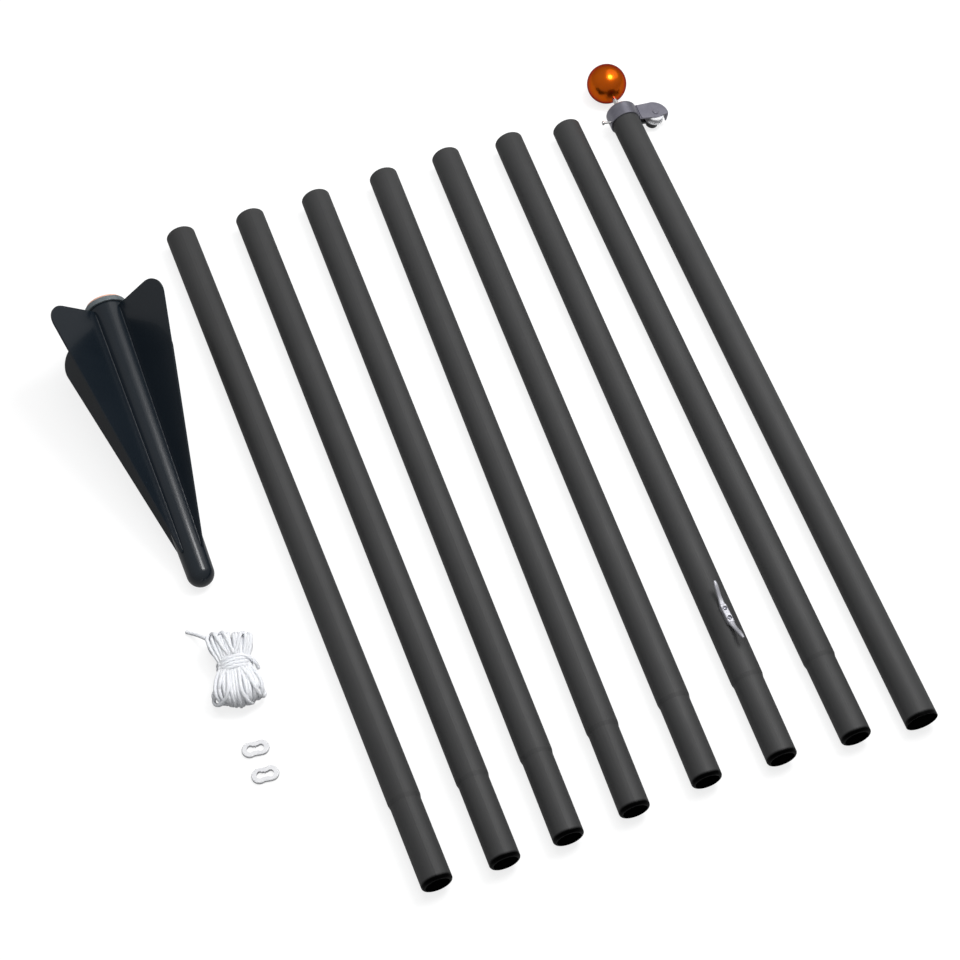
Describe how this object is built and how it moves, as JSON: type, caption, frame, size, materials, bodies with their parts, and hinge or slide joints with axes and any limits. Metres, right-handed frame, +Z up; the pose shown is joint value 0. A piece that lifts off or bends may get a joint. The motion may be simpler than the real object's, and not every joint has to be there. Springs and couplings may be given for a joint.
{
  "type": "sectional flagpole kit",
  "caption": "Black sectional flagpole laid out unassembled: drawn-in tubes, truck with pulley and gold ball, cleat, finned ground sleeve, rope halyard and flag clips.",
  "frame": {"origin": "centre of the laid-out kit's footprint, on the floor it lies on", "axes": "+Z up from the floor, +Y away from the viewer of the picture, +X to the viewer's right"},
  "size_m": [1.3807, 1.5887, 0.1844],
  "materials": {
    "black_tube": "satin black anodised or powder-coated tube",
    "truck_casting": "satin grey cast aluminium",
    "bright_metal": "polished light aluminium",
    "steel": "polished steel",
    "gold_ball": "glossy orange-gold mirror",
    "white_nylon": "white nylon, slightly glossy",
    "black_fitting": "black fitting",
    "sleeve_black": "glossy blue-black plastic",
    "sleeve_rim_grey": "dark grey rim with a worn edge",
    "liner_peach": "peach-coloured lining",
    "white_rope": "white braided polyester"
  },
  "bodies": {
    "root": {"pole_section_1": "black_tube", "pole_section_2": "black_tube", "pole_section_3": "black_tube", "pole_section_4": "black_tube", "pole_section_5": "black_tube", "cleat": "bright_metal", "cleat_screw_1": "steel", "cleat_screw_2": "steel", "pole_section_6": "black_tube", "pole_section_7": "black_tube", "pole_section_8": "black_tube", "truck_cap": "truck_casting", "truck_lower_cheek": "black_fitting", "pulley_pin": "steel", "pulley_nut": "black_fitting", "set_screw": "steel", "ball_stud": "steel", "ball_finial": "gold_ball", "sleeve_tube": "sleeve_black", "sleeve_tip": "sleeve_black", "sleeve_rim": "sleeve_rim_grey", "sleeve_liner": "liner_peach", "sleeve_fin_1": "sleeve_black", "sleeve_fin_2": "sleeve_black", "sleeve_fin_3": "sleeve_black", "sleeve_fin_4": "sleeve_black", "halyard_hank": "white_rope", "halyard_end": "white_rope", "flag_clip_1": "white_nylon", "flag_clip_2": "white_nylon"},
    "pulley": {"pulley": "white_nylon"}
  },
  "joints": [
    {"name": "pulley_spin", "type": "hinge", "parent": "root", "child": "pulley", "pos_m": [0.32232, 0.68951, 0.0254], "axis": [0.1835, 0.053, 0.9816], "continuous": true}
  ]
}
